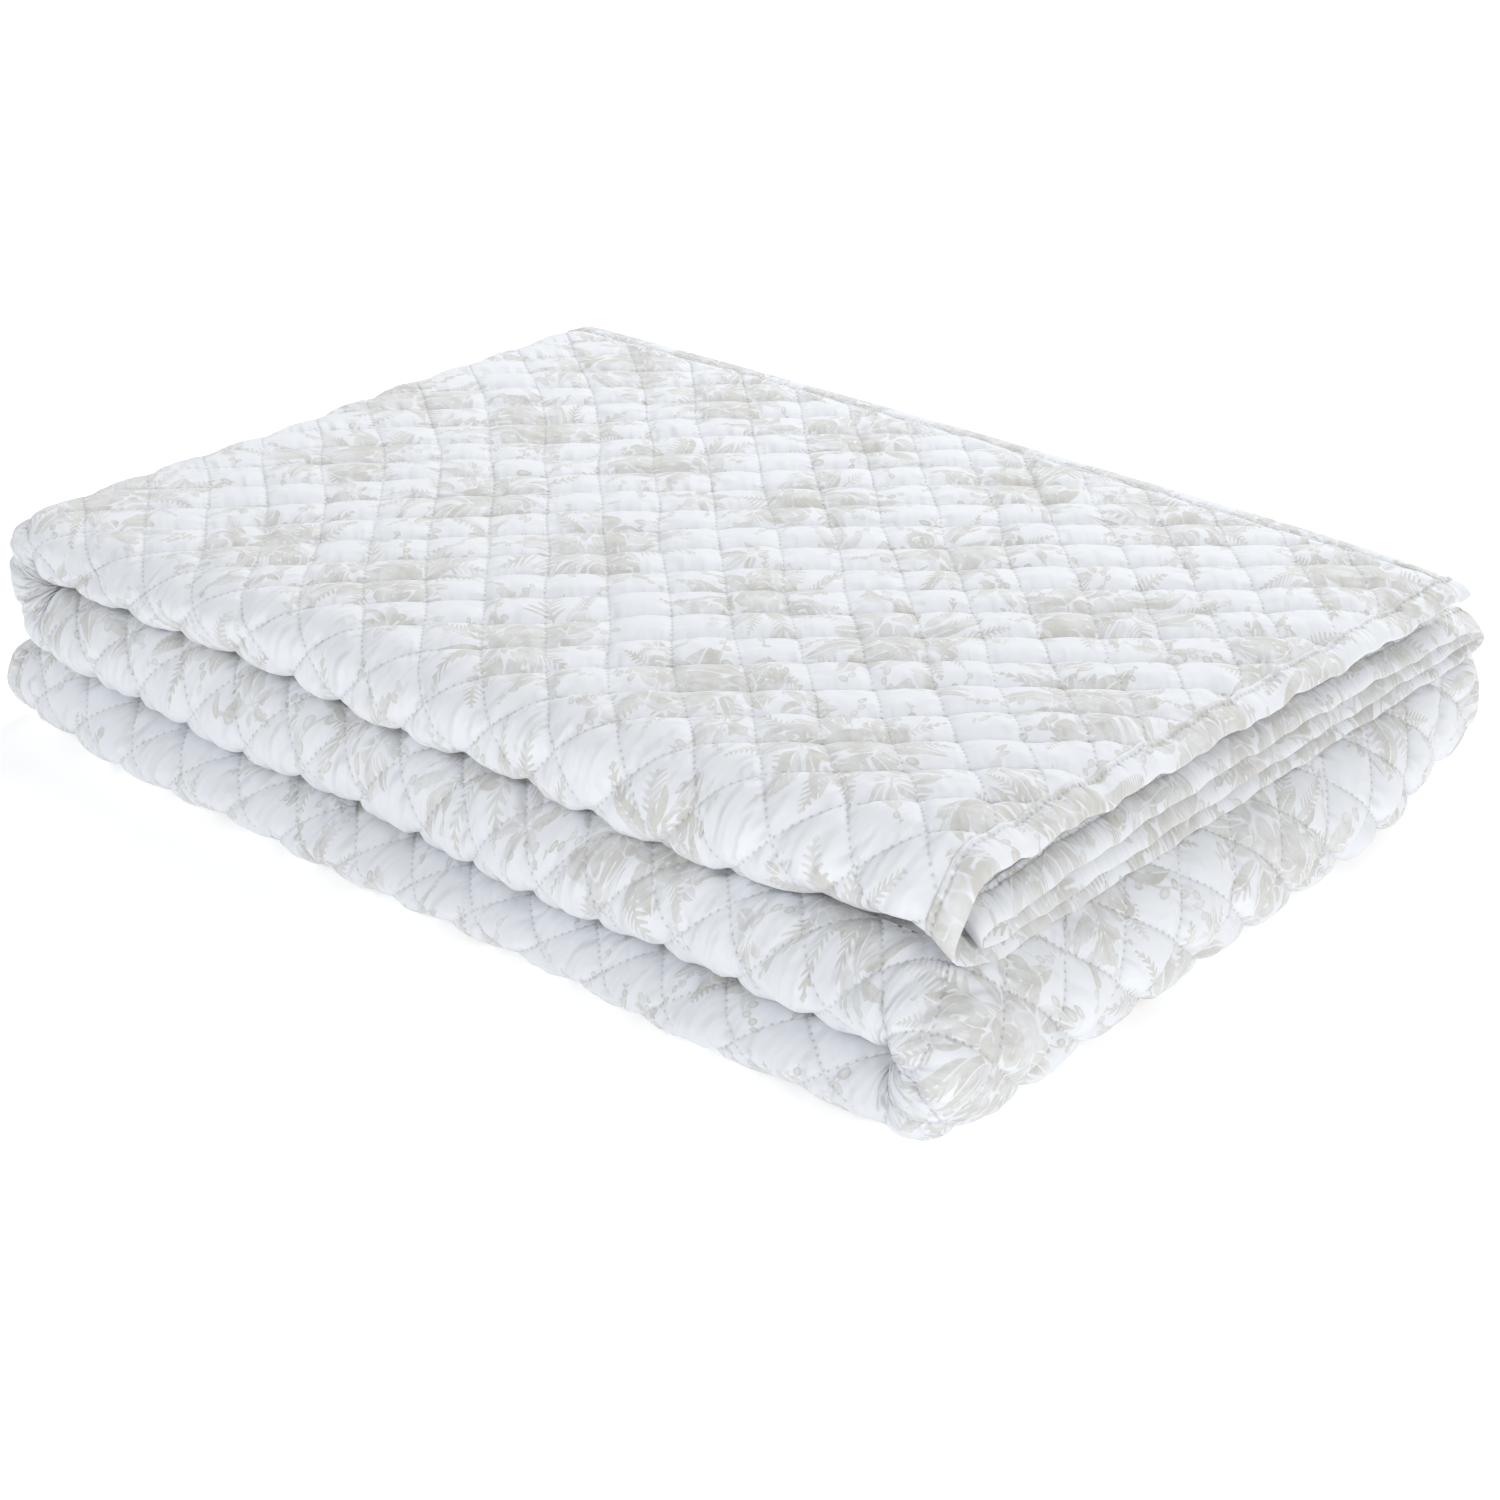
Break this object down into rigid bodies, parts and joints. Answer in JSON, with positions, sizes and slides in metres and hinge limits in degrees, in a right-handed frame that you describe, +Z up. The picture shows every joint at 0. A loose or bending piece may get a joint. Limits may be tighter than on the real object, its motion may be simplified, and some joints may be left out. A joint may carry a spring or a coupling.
{
  "type": "folded quilted bedspread",
  "caption": "White diamond-quilted bedspread with bound edges and a pale flower print, folded into a flat stack of layers.",
  "frame": {"origin": "middle of the folded stack's box, at the height of the surface it lies on", "axes": "+X along the long side towards the top section's bound end, +Y from the front rolls to the free edges at the back, +Z up"},
  "size_m": [0.8346, 0.6198, 0.1619],
  "materials": {
    "quilted_cloth": "matte cotton, pale warm grey flower print on white",
    "binding": "matte cotton strip in the same print"
  },
  "bodies": {
    "root": {"quilted_cloth": "quilted_cloth", "binding_top_end": "binding", "binding_bottom_end": "binding", "binding_upper_edge": "binding", "binding_lower_edge": "binding"}
  },
  "joints": []
}
